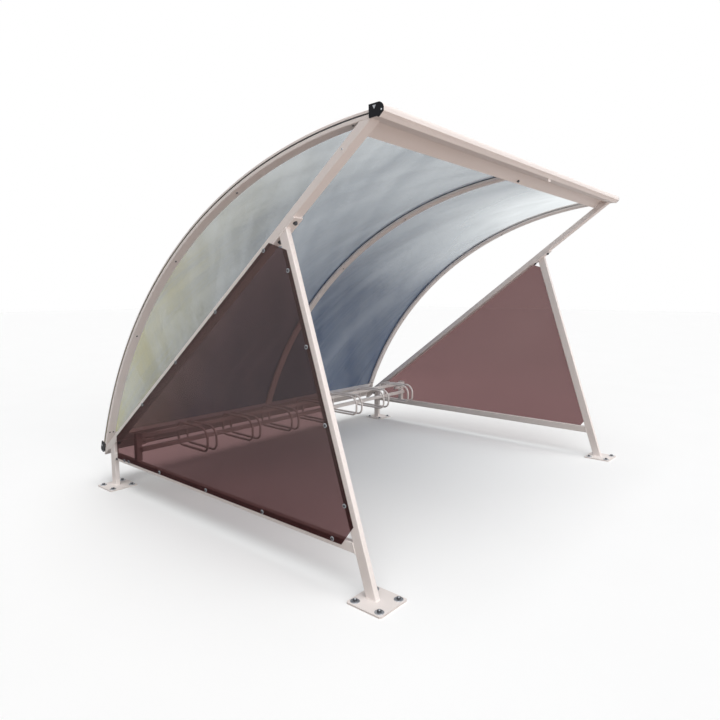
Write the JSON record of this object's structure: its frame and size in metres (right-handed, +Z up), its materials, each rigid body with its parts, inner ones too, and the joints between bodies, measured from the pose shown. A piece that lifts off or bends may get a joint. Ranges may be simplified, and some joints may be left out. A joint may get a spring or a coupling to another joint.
{
  "type": "bike shelter",
  "caption": "Open bike shelter with leaning steel end frames, a curved clear roof, smoked side panels and a rack of bent hoops along the back.",
  "frame": {"origin": "on the ground below the middle of the shelter", "axes": "+X along the shelter, the open side faces -Y, +Z up"},
  "size_m": [3.2, 2.6852, 2.1496],
  "materials": {
    "frame_paint": "satin powder coat",
    "trim_paint": "satin powder coat",
    "roof_sheet": "clear, slightly hazy",
    "smoked_sheet": "smoked, glossy",
    "cap_plastic": "moulded",
    "fastener_steel": "zinc plated"
  },
  "bodies": {
    "root": {"left_front_leg": "frame_paint", "right_front_leg": "frame_paint", "left_back_leg": "frame_paint", "right_back_leg": "frame_paint", "left_front_foot": "frame_paint", "right_front_foot": "frame_paint", "left_back_foot": "frame_paint", "right_back_foot": "frame_paint", "left_chord": "frame_paint", "right_chord": "frame_paint", "left_bottom_rail": "frame_paint", "right_bottom_rail": "frame_paint", "left_arch": "frame_paint", "middle_arch": "frame_paint", "right_arch": "frame_paint", "rack_upper_tube": "frame_paint", "rack_lower_tube": "frame_paint", "left_rack_post": "frame_paint", "right_rack_post": "frame_paint", "hoop_pair_1": "frame_paint", "hoop_pair_2": "frame_paint", "hoop_pair_3": "frame_paint", "hoop_pair_4": "frame_paint", "hoop_pair_5": "frame_paint", "hoop_pair_6": "frame_paint", "hoop_pair_7": "frame_paint", "left_cover_strip": "trim_paint", "middle_cover_strip": "trim_paint", "right_cover_strip": "trim_paint", "front_edge_profile": "trim_paint", "back_edge_profile": "trim_paint", "front_beam": "trim_paint", "back_beam": "trim_paint", "left_roof_sheet": "roof_sheet", "right_roof_sheet": "roof_sheet", "left_side_panel": "smoked_sheet", "right_side_panel": "smoked_sheet", "front_left_end_cap": "cap_plastic", "front_right_end_cap": "cap_plastic", "back_left_end_cap": "cap_plastic", "back_right_end_cap": "cap_plastic"}
  },
  "joints": []
}
